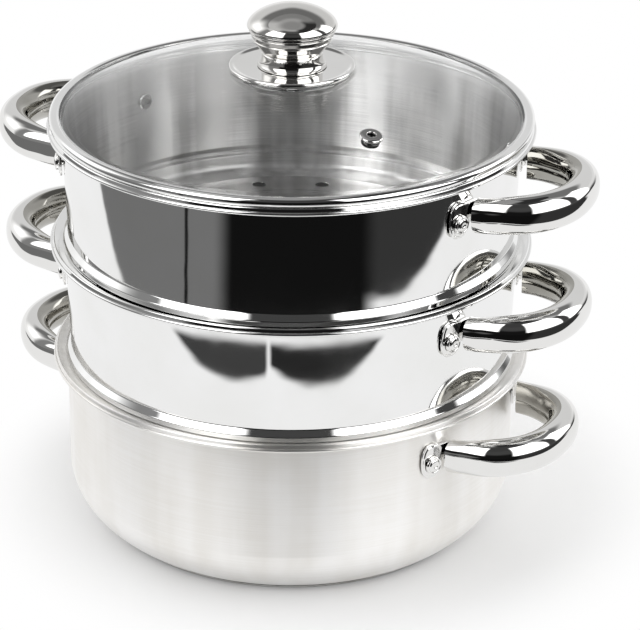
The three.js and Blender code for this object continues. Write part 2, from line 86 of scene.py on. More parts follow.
# Steamer tier, measured from the top of the rim it rests in
WALL_TAPER = 2.0
CREASE_HEIGHT = 4.35
CREASE_ROUND = 0.5
SHOULDER_HEIGHT = 1.2
FOOT_RADIUS = 119.8
FOOT_ROUND = 0.6
COLLAR_RADIUS = 116.6
COLLAR_DEPTH = 10.0
COLLAR_CORNER = 5.0
COLLAR_ROUND = 0.3
FLOOR_STEP_RADIUS = 80.0
FLOOR_STEP_HEIGHT = 1.0
FLOOR_STEP_WIDTH = 2.0
FLOOR_EDGE = 101.0

# Steam holes; a band of floor is (inner radius, radius of its ring of holes, outer radius, holes).
# The rows of a hole's faces in painted shade, counted from the top, are its bore and the edge next
# to it.
HOLE_RADIUS = 3.6
HOLE_ROUND = 0.45
HOLE_FLAT = 0.3
HOLE_SIDE_STEPS = 6
HOLE_BANDS = (
    (40.0, 48.0, 56.0, 8),
    (64.0, 71.0, FLOOR_STEP_RADIUS - FLOOR_STEP_WIDTH, 16),
    (FLOOR_STEP_RADIUS, 90.0, FLOOR_EDGE, 16),
)
ROWS_IN_PAINTED_SHADE = (4, 7)

# Handles; the side in painted shade, in degrees round the tube's section, faces the wall
HANDLE_DROP = 21.6
POT_HANDLE_DROP = 23.2
HANDLE_LIFT = 2.9
LOOP_REACH = 37.0
LOOP_HALF_WIDTH = 39.6
LOOP_RUN_IN = 9.6
LOOP_DEPTH = LOOP_REACH + LOOP_RUN_IN
LOOP_POWER = 2.3
TUBE_WIDTH = 16.0
TUBE_HEIGHT = 19.6
TUBE_END_WIDTH = 10.8
TUBE_END_HEIGHT = 18.4
TUBE_PINCH_LENGTH = 20.0
TUBE_POWER = 2.2
TUBE_END_GAP = 3.4
TUBE_PAINTED_SHADE_SIDE = (96, 262)
TANGENT_SHARE = 0.25
SEAM_DEPTH = 0.7
SEAM_SPREAD = 0.07
SEAM_SHARES = (-2, -1.2, -0.6, 0, 0.6, 1.2, 2)
SEAM_CLEAR_SHARE = 2.6
END_SEARCH_SHARE = 0.3
END_SEARCHES = 30

# Brackets and rivets
EAR_OUTSET = 9.6
EAR_ANGLE = math.degrees(math.asin((LOOP_HALF_WIDTH + EAR_OUTSET) / WALL_RADIUS))
EAR_WIDTH = 13.6
EAR_HEIGHT = 19.2
EAR_THICKNESS = 1.6
EAR_POWER = 2.5
EAR_EDGE = 0.4
EAR_SHELF = 0.7
EAR_STEP = 0.5
EAR_POINTS = 48
BLOCK_EDGE_SHARE = 0.8
STRAP_HEIGHT = 8.0
STRAP_RISE = 4.2
STRAP_REACH = 11.7
STEM_LENGTH = 7.4
RIVET_DROP = 1.8
RIVET_SHANK = 5.0
RIVET_HEAD = 9.6
RIVET_HEAD_HEIGHT = 2.3
RIVET_HEAD_EDGE = 0.1
RIVET_RING_SHARES = (
    (1, 0.5), (0.86, 0.78), (0.72, 0.62), (0.6, 0.9), (0.3, 1), (0.2, 0.84), (0, 0.84),
)
RIVET_RING_ROUND = 0.3
RIVET_TAIL = 9.0
RIVET_TAIL_HEIGHT = 1.6
RIVET_TAIL_ROUND_SHARE = 0.6
RIVET_TAIL_EDGE = 0.2
RIVET_STEPS = 48

# Lid
BAND_RADIUS = 125.9
BAND_GAP = 0.1
BAND_ROLL_WIDTH = 2.9
BAND_UNDER_WIDTH = 1.2
BAND_ROLL_HEIGHT = 2.35
BAND_START, BAND_END = -85, 150
BAND_STEPS = 32
BAND_WEB = 0.8
BAND_ROUND = 0.3
SKIRT_RADIUS = 119.9
SKIRT_THICKNESS = 1.0
GLASS_THICKNESS = 3.5
GLASS_RADIUS = 122.3
GLASS_RIM_WIDTH = 2.7
GLASS_EDGE_WIDTH = 1.5
GLASS_EDGE_ROUND = 0.7
GLASS_SEAT = 0.4
DOME_RISE = 24.6
DOME_STEPS = 40
DOME_EDGE = GLASS_RADIUS - GLASS_RIM_WIDTH
DOME_SPHERE = (DOME_EDGE ** 2 + DOME_RISE ** 2) / (2 * DOME_RISE)
CROWN = UPPER_TOP + GLASS_SEAT + GLASS_THICKNESS + DOME_RISE

# Vent eyelet
VENT_PLACE = 83.2
VENT_ANGLE = -33.0
VENT_BORE = 4.5
VENT_BARREL = 7.0
VENT_FLANGE = 12.0
VENT_FLANGE_HEIGHT = 1.4
VENT_FLANGE_EDGE = 0.5
VENT_FLANGE_SLOPE = 1.8
VENT_ROUND = 0.3
VENT_CURL_ROUND = 0.5
VENT_MOUTH = 1.0
VENT_MOUTH_ROUND = 0.8
VENT_STEPS = 64

# Knob
KNOB_DISC_RADIUS = 32.8
KNOB_DISC_THICKNESS = 1.1
KNOB_DISC_CREST = 31.0
KNOB_DISC_RISE = 2.3
KNOB_DISC_STEPS = 6
KNOB_UNDER_INSET = 0.6
KNOB_LIP_WIDTH = 1.8
KNOB_LIP_INSET = 0.5
KNOB_LIP_ROUNDS = (0.2, 0.6, 0.7, 0.5, 0.9)
KNOB_DISH_RISE = 0.2
GLASS_LAND = KNOB_DISC_CREST
KNOB_CAP_RADIUS = 23.3
KNOB_CAP_HEIGHT = 12.0
KNOB_CAP_EDGE = 0.9
KNOB_CAP_EDGE_STEPS = 10
KNOB_CAP_POWER = 1.75
KNOB_CAP_STEPS = 64
KNOB_SEAM_RADIUS = 22.4
KNOB_FLANGE_HEIGHT = 2.0
KNOB_FLARE_RADIUS = 21.8
KNOB_FLARE_HEIGHT = 3.4
KNOB_RIDGE_RADIUS = 20.6
KNOB_THROAT_HEIGHT = 7.6
KNOB_WAIST_RADIUS = 15.7
KNOB_WAIST_STEPS = 18
KNOB_NECK_HEIGHT = 7.2
KNOB_FOOT_RADIUS = 18.0
KNOB_GROOVE = 0.5
KNOB_GROOVE_ROUND = 0.15
KNOB_SWELL_ROUND = 0.4
KNOB_RIDGE_ROUND = 0.5
KNOB_SPIGOT_RADIUS = 12.9
KNOB_SPIGOT_HEIGHT = 3.0
KNOB_SPIGOT_ROUND = 0.3
BOLT_COVER = 5.8
BOLT_RADIUS = 3.0

# Fineness of the meshes
TURN_STEPS = 192
ARC_STEPS = 8
EASE_STEPS = 4
ROUND_STEPS = 4
LOOP_STEPS = 120
TUBE_STEPS = 40
ON_AXIS = 1e-6
MERGE_DISTANCE = 0.002
SHARP_ANGLE = math.radians(40)

# Studio: metres, and strengths of light
FLOOR_HALF = 6.0
SHADOW_SIDE = 0.008
SHADOW_BACK = 0.027
SHADOW_NEAR = 0.135
SHADOW_FAR = 0.20
SHADOW_KEPT = 0.1
SHELL_AROUND = 96
SHELL_UP = 32
ROOM_RADIUS = 4.5
ROOM_BRIGHT = 0.72
WINDOW = 2.6
WITHIN_RADIUS = 4.6
WITHIN_BRIGHT = 0.4
OVERHEAD_RADIUS = 0.26
OVERHEAD_HEIGHT = 0.62
OVERHEAD_BRIGHT = 0.6
SHEET_HALF = 5.0
SHEET_LEVEL = 0.001
SHEET_BRIGHT = 0.93

# Camera, fitted to the photograph: millimetres and degrees, turned from the part's frame
CAMERA_TURN = 28.3
CAMERA_ELEVATION = 24.6
CAMERA_DISTANCE = 1500.0
CAMERA_SIDE = 15.58
CAMERA_AIM_HEIGHT = 111.0
CAMERA_ROLL = 0.55
FOCAL_PIXELS = 2798.7
PHOTO_WIDTH = 640
SENSOR_WIDTH = 36.0
CLIP_START = 0.05
CLIP_END = 100.0

# Finishes of a vessel's faces, in the order of its materials; the second is a vessel's inside
# steel, and painted shade on the base disc, the vent and the handles' loops
OUTSIDE, INSIDE_AND_PAINTED_SHADE, FLOOR, BORE_IN_PAINTED_SHADE = range(4)


# Curves of a profile

def arc(radius, height, bend, start, end, steps=ARC_STEPS):
    """Points (radius, height) of a round stretch, from one angle to another in degrees."""
    points = []
    for i in range(steps + 1):
        angle = math.radians(start + (end - start) * i / steps)
        points.append((radius + bend * math.cos(angle), height + bend * math.sin(angle)))
    return points


def curve(start, pull, end, steps=ARC_STEPS):
    """A smooth bend between two points, pulled toward a third."""
    points = []
    for i in range(steps + 1):
        t = i / steps
        a, b, c = (1 - t) ** 2, 2 * t * (1 - t), t ** 2
        points.append(tuple(a * s + b * p + c * e for s, p, e in zip(start, pull, end)))
    return points


def eased(corners, steps=EASE_STEPS):
    """A line of corners (radius, height, size of its rounding), with every corner rounded."""
    points = []
    for i, (r, z, size) in enumerate(corners):
        if size == 0 or i in (0, len(corners) - 1):
            points.append((r, z))
            continue
        here = Vector((r, z))
        before = Vector(corners[i - 1][:2]) - here
        after = Vector(corners[i + 1][:2]) - here
        size = min(size, before.length / 2, after.length / 2)
        start = here + before.normalized() * size
        end = here + after.normalized() * size
        points += curve(tuple(start), (r, z), tuple(end), steps)
    return points


def rounding(size):
    """Steps (in, down) of a rounded edge, from the face on its top round to its side."""
    steps = []
    for i in range(ROUND_STEPS + 1):
        angle = math.pi / 2 * i / ROUND_STEPS
        steps.append((size * (1 - math.sin(angle)), size * (1 - math.cos(angle))))
    return steps


# Meshes, built in millimetres

class Shape:
    """Corners and faces of a mesh, with a finish for each face."""

    def __init__(self):
        self.corners = []
        self.faces = []
        self.finishes = []

    def add(self, corners, faces, finish=OUTSIDE):
        first = len(self.corners)
        self.corners += [tuple(c) for c in corners]
        self.faces += [tuple(first + i for i in face) for face in faces]
        self.finishes += [finish] * len(faces)

    def moved(self, matrix):
        self.corners = [tuple(matrix @ Vector(c)) for c in self.corners]
        return self


def turned(stretches, steps=TURN_STEPS, closed=True):
    """A solid of revolution: its outside is listed upwards, then its inside downwards.

    A stretch is (points, finish); the faces that lead to a point take its finish.
    """
    points = [(r, z, finish) for line, finish in stretches for r, z in line]
    if closed and points[0][0] > 0:
        points.append(points[0][:2] + (points[-1][2],))
    shape = Shape()
    rings = []
    for r, z, _ in points:
        first = len(shape.corners)
        if r < ON_AXIS:
            shape.corners.append((0, 0, z))
            rings.append([first] * steps)
            continue
        for i in range(steps):
            angle = 2 * math.pi * i / steps
            shape.corners.append((r * math.cos(angle), r * math.sin(angle), z))
        rings.append([first + i for i in range(steps)])
    for k in range(len(points) - 1):
        low, high = rings[k], rings[k + 1]
        for i in range(steps):
            j = (i + 1) % steps
            face = []
            for corner in (low[i], low[j], high[j], high[i]):
                if corner not in face:
                    face.append(corner)
            if len(face) > 2:
                shape.faces.append(tuple(face))
                shape.finishes.append(points[k + 1][2])
    return shape


def lofted(rings):
    """A closed surface over rings of points, capped at both ends."""
    count = len(rings[0])
    last = (len(rings) - 1) * count
    faces = []
    for i in range(len(rings) - 1):
        for j in range(count):
            k = (j + 1) % count
            a, b = i * count + j, i * count + k
            faces.append((a, a + count, b + count, b))
    faces.append(tuple(range(count)))
    faces.append(tuple(reversed(range(last, last + count))))
    shape = Shape()
    shape.add([p for ring in rings for p in ring], faces)
    return shape


def superellipse(half_width, half_height, power, angle):
    """A point on an ellipse whose corners are filled out by a power over 2."""
    c, s = math.cos(angle), math.sin(angle)
    return (
        half_width * math.copysign(abs(c) ** (2 / power), c),
        half_height * math.copysign(abs(s) ** (2 / power), s),
    )


def turn(degrees):
    return Matrix.Rotation(math.radians(degrees), 4, "Z")


# Pot and steamer tiers

def rim_profile(top):
    """Rolled rim, from the wall's outside round the bead and the ridge to the mouth's edge."""
    bead = top - RIM_HEIGHT + BEAD_RADIUS
    ridge = RIM_RADIUS - RIDGE_INSET
    under = eased([
        (WALL_RADIUS, top - RIM_HEIGHT - BEAD_RADIUS, 0),
        (WALL_RADIUS, top - RIM_HEIGHT, BEAD_RADIUS / 2),
        (RIM_RADIUS - BEAD_RADIUS, top - RIM_HEIGHT, 0),
    ])
    inner = eased([
        (MOUTH_RADIUS + LEDGE_WIDTH + RIDGE_SLOPE_WIDTH, top - LEDGE_DEPTH + RIDGE_SLOPE_HEIGHT, 0),
        (MOUTH_RADIUS + LEDGE_WIDTH, top - LEDGE_DEPTH, LEDGE_ROUND),
        (MOUTH_RADIUS, top - LEDGE_DEPTH, LIP_ROUND),
        (MOUTH_RADIUS, top - LEDGE_DEPTH - LIP_DEPTH, 0),
    ])
    return (
        under
        + arc(RIM_RADIUS - BEAD_RADIUS, bead, BEAD_RADIUS, -90, 90, ARC_STEPS * 2)[1:]
        + arc(ridge, top - RIDGE_ROUND, RIDGE_ROUND, 0, RIDGE_WRAP, ARC_STEPS)
        + inner
    )


def wall_radius_at(drop, taper):
    """Outside radius of a vessel's wall, at a distance below its rim's top."""
    wall_height = TIER_PITCH - CREASE_HEIGHT - RIM_HEIGHT
    return WALL_RADIUS - taper * (drop - RIM_HEIGHT) / wall_height


def pot_shape():
    """The pot, with a wide bend between its flat bottom and its wall."""
    bottom = DISC_HEIGHT + GAP
    flat = DISC_RADIUS + FOOT_INSET
    pull = WALL_RADIUS - CORNER_INSET
    outside = curve(
        (flat, bottom),
        (pull, bottom + CORNER_PULL),
        (WALL_RADIUS, CORNER_HEIGHT),
        CORNER_STEPS,
    )
    inside = curve(
        (MOUTH_RADIUS, CORNER_HEIGHT),
        (pull - SHEET, bottom + SHEET + CORNER_PULL),
        (flat - SHEET, bottom + SHEET),
        CORNER_STEPS,
    )
    return turned([
        ([(0, bottom)] + outside + rim_profile(POT_HEIGHT), OUTSIDE),
        (inside + [(0, bottom + SHEET)], INSIDE_AND_PAINTED_SHADE),
    ])


def disc_shape():
    """The base disc, with painted shade in the groove over it and on its lower edge."""
    edge = DISC_HEIGHT - DISC_GROOVE
    return turned([
        ([(0, 0), (DISC_RADIUS - DISC_BEVEL, 0)], OUTSIDE),
        ([(DISC_RADIUS, DISC_BEVEL)], INSIDE_AND_PAINTED_SHADE),
        ([(DISC_RADIUS, edge)], OUTSIDE),
        ([(DISC_RADIUS - DISC_SLOPE, DISC_HEIGHT), (0, DISC_HEIGHT)], INSIDE_AND_PAINTED_SHADE),
    ])


def tier_shape(top):
    """A steamer tier, whose rim's top is given, and which rests in the rim one pitch lower."""
    seat = top - TIER_PITCH
    foot = seat - LEDGE_DEPTH + GAP
    shoulder = seat + SHOULDER_HEIGHT
    crease = seat + CREASE_HEIGHT
    floor = seat - COLLAR_DEPTH
    crease_radius = WALL_RADIUS - WALL_TAPER
    outside = eased([
        (FLOOR_EDGE, floor, 0),
        (COLLAR_RADIUS, floor, COLLAR_CORNER),
        (COLLAR_RADIUS, foot, COLLAR_ROUND),
        (FOOT_RADIUS, foot, FOOT_ROUND),
        (FOOT_RADIUS, shoulder, CREASE_ROUND),
        (crease_radius, crease, CREASE_ROUND),
        (WALL_RADIUS, top - RIM_HEIGHT - BEAD_RADIUS, 0),
    ], ARC_STEPS)
    inside = eased([
        (MOUTH_RADIUS, top - RIM_HEIGHT, 0),
        (crease_radius - SHEET, crease, CREASE_ROUND),
        (FOOT_RADIUS - SHEET, shoulder, CREASE_ROUND),
        (FOOT_RADIUS - SHEET, foot + SHEET, CREASE_ROUND),
        (COLLAR_RADIUS - SHEET, foot + SHEET, FOOT_ROUND),
        (COLLAR_RADIUS - SHEET, floor + SHEET, COLLAR_CORNER - SHEET),
        (FLOOR_EDGE, floor + SHEET, 0),
    ], ARC_STEPS)
    shape = turned([(outside + rim_profile(top), OUTSIDE), (inside, INSIDE_AND_PAINTED_SHADE)], closed=False)
    add_floor(shape, floor)
    return shape


def add_floor(shape, floor):
    """The perforated floor: rings of plain sheet and rings with holes, over and under."""
    step_inner = FLOOR_STEP_RADIUS - FLOOR_STEP_WIDTH
    raised = floor + FLOOR_STEP_HEIGHT
    for side, thick in ((-1, 0), (1, SHEET)):
        low, high = floor + thick, raised + thick
        for r0, z0, r1, z1 in (
            (0, high, HOLE_BANDS[0][0], high),
            (HOLE_BANDS[0][2], high, HOLE_BANDS[1][0], high),
            (step_inner, high, FLOOR_STEP_RADIUS, low),
        ):
            band = turned([([(r1, z1), (r0, z0)], FLOOR)], closed=False)
            if side < 0:
                band.faces = [tuple(reversed(face)) for face in band.faces]
            shape.add(band.corners, band.faces, FLOOR)
    for (r0, r, r1, rows), level in zip(HOLE_BANDS, (raised, raised, floor)):
        for row in range(rows):
            add_hole(shape, r0, r, r1, rows, row, level)


def add_hole(shape, r0, r, r1, rows, row, level):
    """One sector of floor with its hole, whose upper edge is rounded and whose bore has painted
    shade.
    """
    middle = (row + 0.5) * 2 * math.pi / rows
    half = math.pi / rows
    around = TURN_STEPS // rows
    across = HOLE_SIDE_STEPS
    border = []
    for i in range(around):
        border.append((r1, middle - half + 2 * half * i / around))
    for i in range(across):
        border.append((r1 + (r0 - r1) * i / across, middle + half))
    for i in range(around):
        border.append((r0, middle + half - 2 * half * i / around))
    for i in range(across):
        border.append((r0 + (r1 - r0) * i / across, middle - half))
    outline = [Vector((a * math.cos(b), a * math.sin(b))) for a, b in border]
    centre = Vector((r * math.cos(middle), r * math.sin(middle)))
    rays = [(p - centre).normalized() for p in outline]

    def circle(radius, z):
        return [(*(centre + ray * radius), z) for ray in rays]

    top = level + SHEET
    rings = [[(*p, top) for p in outline], circle(HOLE_RADIUS + HOLE_ROUND + HOLE_FLAT, top)]
    rings += [circle(HOLE_RADIUS + out, top - down) for out, down in rounding(HOLE_ROUND)]
    rings += [circle(HOLE_RADIUS, level), [(*p, level) for p in outline]]
    count = len(outline)
    faces = []
    for i in range(len(rings) - 1):
        for j in range(count):
            k = (j + 1) % count
            a, b = i * count + j, i * count + k
            faces.append((a, b, b + count, a + count))
    first = len(shape.faces)
    shape.add([p for ring in rings for p in ring], faces, FLOOR)
    # The bore and the edge next to it take the painted shade
    for i in range(ROWS_IN_PAINTED_SHADE[0] * count, ROWS_IN_PAINTED_SHADE[1] * count):
        shape.finishes[first + i] = BORE_IN_PAINTED_SHADE


# Handles, along +X from the wall at the height of the tube's middle

def handle_path(share):
    """The tube's middle line, at a share of the way from one end round to the other."""
    angle = (share - 0.5) * math.pi
    reach, across = superellipse(LOOP_DEPTH, LOOP_HALF_WIDTH, LOOP_POWER, angle)
    out = WALL_RADIUS + LOOP_REACH - LOOP_DEPTH + reach
    rise = HANDLE_LIFT * max(0, (out - WALL_RADIUS) / LOOP_REACH)
    return Vector((out, across, rise))


def smooth(value, low, high):
    """A soft step from 0 to 1 between two values."""
    t = min(1, max(0, (value - low) / (high - low)))
    return t * t * (3 - 2 * t)


def tube_point(share, angle):
    """A point on the tube's skin, at a share of its length and an angle round it."""
    step = TANGENT_SHARE / LOOP_STEPS
    middle = handle_path(share)
    along = (handle_path(min(1, share + step)) - handle_path(max(0, share - step))).normalized()
    side = Vector((along.y, -along.x, 0)).normalized()
    up = side.cross(along)
    pinch = smooth(middle.x - WALL_RADIUS, 0, TUBE_PINCH_LENGTH)
    half_width = (TUBE_END_WIDTH + (TUBE_WIDTH - TUBE_END_WIDTH) * pinch) / 2
    half_height = (TUBE_END_HEIGHT + (TUBE_HEIGHT - TUBE_END_HEIGHT) * pinch) / 2
    w, h = superellipse(half_width, half_height, TUBE_POWER, angle)
    w += SEAM_DEPTH * math.exp(-((angle - math.pi) / SEAM_SPREAD) ** 2)
    return middle + side * w + up * h


def tube_angles():
    """Angles round the tube, closer together along the seam."""
    angles = [2 * math.pi * i / TUBE_STEPS for i in range(TUBE_STEPS)]
    spread = [SEAM_SPREAD * share for share in SEAM_SHARES]
    clear = SEAM_CLEAR_SHARE * SEAM_SPREAD
    angles = [a for a in angles if abs(a - math.pi) > clear]
    return sorted(angles + [math.pi + s for s in spread])


def tube_shape(radius):
    """The tube, cut to the wall's curve at both ends, with painted shade on the loop's inner side.
    """
    limit = radius + TUBE_END_GAP
    angles = tube_angles()
    starts = []
    for angle in angles:
        low, high = 0.0, END_SEARCH_SHARE
        for _ in range(END_SEARCHES):
            share = (low + high) / 2
            point = tube_point(share, angle)
            if math.hypot(point.x, point.y) < limit:
                low = share
            else:
                high = share
        starts.append(high)
    rings = []
    for i in range(LOOP_STEPS + 1):
        t = i / LOOP_STEPS
        rings.append([
            tube_point(start + (1 - 2 * start) * t, angle)
            for start, angle in zip(starts, angles)
        ])
    shape = lofted(rings)
    # Faces on the loop's inner side take the darker chrome of painted shade
    low, high = TUBE_PAINTED_SHADE_SIDE
    for i in range(LOOP_STEPS * len(angles)):
        loop_painted_shade = low < math.degrees(angles[i % len(angles)]) < high
        shape.finishes[i] = INSIDE_AND_PAINTED_SHADE if loop_painted_shade else OUTSIDE
    return shape


# Brackets and rivets: X runs along the wall away from the handle, Y into the pot

def at_ear(shape, radius, end):
    """Moves a shape to the wall beside the handle's near (-1) or far (1) end, mirrored if near."""
    if end < 0:
        shape.moved(Matrix.Diagonal((-1, 1, 1, 1)))
        shape.faces = [tuple(reversed(face)) for face in shape.faces]
    move = turn(EAR_ANGLE * end + 90) @ Matrix.Translation((0, -radius, 0))
    return shape.moved(move)


def plate(outline, thickness, edge, shelf=0.0, step=0.0):
    """A flat plate in XZ with rounded edges, from Y 0 out to minus its thickness.

    A step may run round its front, with a shelf of some width outside it.
    """
    rings = rounding(edge)
    levels = rings + [(inset, thickness - step - depth) for inset, depth in reversed(rings)]
    if step:
        levels += [(edge + shelf, thickness - step), (edge + shelf + step, thickness)]
    loops = []
    for inset, depth in levels:
        loops.append([Vector((x - nx * inset, -depth, z - nz * inset)) for x, z, nx, nz in outline])
    return lofted(loops)


def ear_outline():
    """Points round an ear, each with its outward direction."""
    points = []
    for i in range(EAR_POINTS):
        angle = -2 * math.pi * i / EAR_POINTS
        x, z = superellipse(EAR_WIDTH / 2, EAR_HEIGHT / 2, EAR_POWER, angle)
        length = math.hypot(x / EAR_WIDTH ** 2, z / EAR_HEIGHT ** 2)
        points.append((x, z, x / EAR_WIDTH ** 2 / length, z / EAR_HEIGHT ** 2 / length))
    return points


def box_shape(low, high, edge):
    """A block with rounded edges: a rounded plate in XZ between two depths."""
    x0, z0, x1, z1 = low[0], low[2], high[0], high[2]
    outline = []
    for cx, cz, start in ((x1, z1, 90), (x1, z0, 0), (x0, z0, -90), (x0, z1, -180)):
        for i in range(ROUND_STEPS + 1):
            angle = math.radians(start - 90 * i / ROUND_STEPS)
            nx, nz = math.cos(angle), math.sin(angle)
            px = cx - math.copysign(edge, cx - (x0 + x1) / 2) + nx * edge
            pz = cz - math.copysign(edge, cz - (z0 + z1) / 2) + nz * edge
            outline.append((px, pz, nx, nz))
    shape = plate(outline, high[1] - low[1], edge * BLOCK_EDGE_SHARE)
    return shape.moved(Matrix.Translation((0, high[1], 0)))


def bracket_shape(radius, end):
    """An ear on the wall, a strap beside it and a stem into the tube's end."""
    ear = plate(ear_outline(), EAR_THICKNESS, EAR_EDGE, EAR_SHELF, EAR_STEP)
    ear.moved(Matrix.Translation((0, -GAP, 0)))
    strap_end = STRAP_REACH + EAR_THICKNESS / 2
    low = STRAP_RISE - STRAP_HEIGHT / 2
    strap = box_shape(
        (-strap_end, -GAP - EAR_THICKNESS, low),
        (0, -GAP, low + STRAP_HEIGHT),
        EAR_EDGE,
    )
    half = (STRAP_HEIGHT - EAR_THICKNESS) / 2
    stem = box_shape(
        (-EAR_THICKNESS / 2, -STEM_LENGTH, STRAP_RISE - half),
        (EAR_THICKNESS / 2, 0, STRAP_RISE + half),
        EAR_EDGE / 2,
    )
    stem.moved(
        Matrix.Translation((-STRAP_REACH, -GAP - EAR_THICKNESS / 2, 0)) @ turn(-EAR_ANGLE)
    )
    shape = Shape()
    for part in (ear, strap, stem):
        shape.add(part.corners, part.faces)
    return at_ear(shape, radius, end)


def rivet_shape(radius, end, inside):
    """Domed head outside, shank through ear and wall, flat tail inside."""
    head = GAP + EAR_THICKNESS + GAP
    tail = inside - radius - GAP
    profile = eased([
        (0, tail - RIVET_TAIL_HEIGHT, 0),
        (RIVET_TAIL / 2, tail - RIVET_TAIL_HEIGHT, RIVET_TAIL_HEIGHT * RIVET_TAIL_ROUND_SHARE),
        (RIVET_TAIL / 2, tail, RIVET_TAIL_EDGE),
        (RIVET_SHANK / 2, tail, 0),
        (RIVET_SHANK / 2, head, 0),
        (RIVET_HEAD / 2, head, RIVET_HEAD_EDGE),
    ] + [
        (RIVET_HEAD / 2 * out, head + RIVET_HEAD_HEIGHT * up, RIVET_RING_ROUND)
        for out, up in RIVET_RING_SHARES
    ])
    shape = turned([(profile, OUTSIDE)], RIVET_STEPS)
    shape.moved(Matrix.Translation((0, 0, -RIVET_DROP)) @ Matrix.Rotation(math.pi / 2, 4, "X"))
    return at_ear(shape, radius, end)


# Lid

def band_shape():
    """A half-round roll that grips the glass, with a skirt inside the tier's rim."""
    skirt_bottom = UPPER_TOP - LEDGE_DEPTH + GAP
    slot_radius = GLASS_RADIUS + GAP
    slot_floor = UPPER_TOP + GLASS_SEAT - GAP
    slot_top = UPPER_TOP + GLASS_SEAT + GLASS_THICKNESS + GAP
    middle = UPPER_TOP + BAND_GAP + BAND_ROLL_HEIGHT
    skirt = eased([
        (SKIRT_RADIUS, skirt_bottom, 0),
        (SKIRT_RADIUS, slot_floor - BAND_WEB, BAND_ROUND),
        (slot_radius, slot_floor - BAND_WEB, BAND_ROUND),
        (slot_radius + BAND_WEB, slot_floor, 0),
    ])
    roll = []
    for i in range(BAND_STEPS + 1):
        angle = math.radians(BAND_START + (BAND_END - BAND_START) * i / BAND_STEPS)
        width = BAND_UNDER_WIDTH if angle < 0 else BAND_ROLL_WIDTH
        roll.append((
            BAND_RADIUS - width * (1 - math.cos(angle)),
            middle + BAND_ROLL_HEIGHT * math.sin(angle),
        ))
    inner = eased([
        (roll[-1][0], slot_top, 0),
        (slot_radius, slot_top, 0),
        (slot_radius, slot_floor, 0),
        (SKIRT_RADIUS - SKIRT_THICKNESS, slot_floor, BAND_ROUND),
        (SKIRT_RADIUS - SKIRT_THICKNESS, skirt_bottom, BAND_ROUND),
        (SKIRT_RADIUS, skirt_bottom, 0),
    ])
    return turned([(skirt + roll + inner[:-1], OUTSIDE)])


def dome_drop(radius):
    """How far the dome has come down at a radius."""
    return DOME_SPHERE - math.sqrt(DOME_SPHERE ** 2 - radius ** 2)


def dome_face(crown):
    """The dome from its edge up to the flat under the knob."""
    start = math.degrees(math.acos(DOME_EDGE / DOME_SPHERE))
    end = math.degrees(math.acos(GLASS_LAND / DOME_SPHERE))
    return arc(0, crown - DOME_SPHERE, DOME_SPHERE, start, end, DOME_STEPS)


def glass_shape():
    """The glass: a flat rim, the dome, and a flat with a hole for the bolt."""
    under = UPPER_TOP + GLASS_SEAT
    over = under + GLASS_THICKNESS
    land = CROWN - dome_drop(GLASS_LAND)
    bore = BOLT_RADIUS + GAP
    edge = eased([
        (GLASS_RADIUS - GLASS_EDGE_WIDTH, under, 0),
        (GLASS_RADIUS, under, GLASS_EDGE_ROUND),
        (GLASS_RADIUS, over, GLASS_EDGE_ROUND),
        (DOME_EDGE, over, 0),
    ])
    return turned([(
        edge
        + dome_face(CROWN)[1:]
        + [(bore, land), (bore, land - GLASS_THICKNESS)]
        + dome_face(CROWN - GLASS_THICKNESS)[::-1],
        OUTSIDE,
    )])


def on_dome(shape):
    """Stands a piece on the glass at the vent's place, square to the dome."""
    tilt = Matrix.Rotation(math.asin(VENT_PLACE / DOME_SPHERE), 4, "Y")
    lift = Matrix.Translation((0, 0, CROWN - DOME_SPHERE))
    return shape.moved(lift @ turn(VENT_ANGLE) @ tilt @ Matrix.Translation((0, 0, DOME_SPHERE)))


def vent_shape():
    """The eyelet: flange, barrel and curled tail, with painted shade in its bore and on the face
    that closes it.
    """
    under = -GLASS_THICKNESS - 2 * GAP
    top = GAP + VENT_FLANGE_HEIGHT
    bore = VENT_BORE / 2
    flange = VENT_FLANGE / 2
    curl = flange - VENT_FLANGE_HEIGHT
    outside = eased([
        (VENT_BARREL / 2, under, 0),
        (VENT_BARREL / 2, GAP, 0),
        (flange, GAP, VENT_ROUND),
    ])
    outside += curve(
        (flange, GAP + VENT_FLANGE_EDGE),
        (flange, top),
        (flange - VENT_FLANGE_SLOPE, top),
    )
    outside += eased([
        (bore + VENT_MOUTH, top, 0),
        (bore, top, VENT_MOUTH_ROUND),
        (bore, top - VENT_MOUTH, 0),
    ])
    inside = eased([
        (bore, top - VENT_MOUTH, 0),
        (bore, under - VENT_FLANGE_HEIGHT, VENT_ROUND),
        (curl, under - VENT_FLANGE_HEIGHT, VENT_CURL_ROUND),
        (curl, under, 0),
    ])
    stopper = [(bore, under), (0, under)]
    return on_dome(turned([(outside, OUTSIDE), (inside + stopper, INSIDE_AND_PAINTED_SHADE)], VENT_STEPS))


def knob_levels():
    """Heights of the disc's lip and dish, and the neck's foot, crease, ridge, flange and seam."""
    lip = CROWN + GAP - dome_drop(KNOB_DISC_RADIUS)
    dish = CROWN + GAP - dome_drop(GLASS_LAND) + KNOB_DISC_THICKNESS
    foot = dish + GAP
    crease = foot + KNOB_NECK_HEIGHT
    ridge = crease + KNOB_THROAT_HEIGHT
    flange = ridge + KNOB_FLARE_HEIGHT
    return lip, dish, foot, crease, ridge, flange, flange + KNOB_FLANGE_HEIGHT


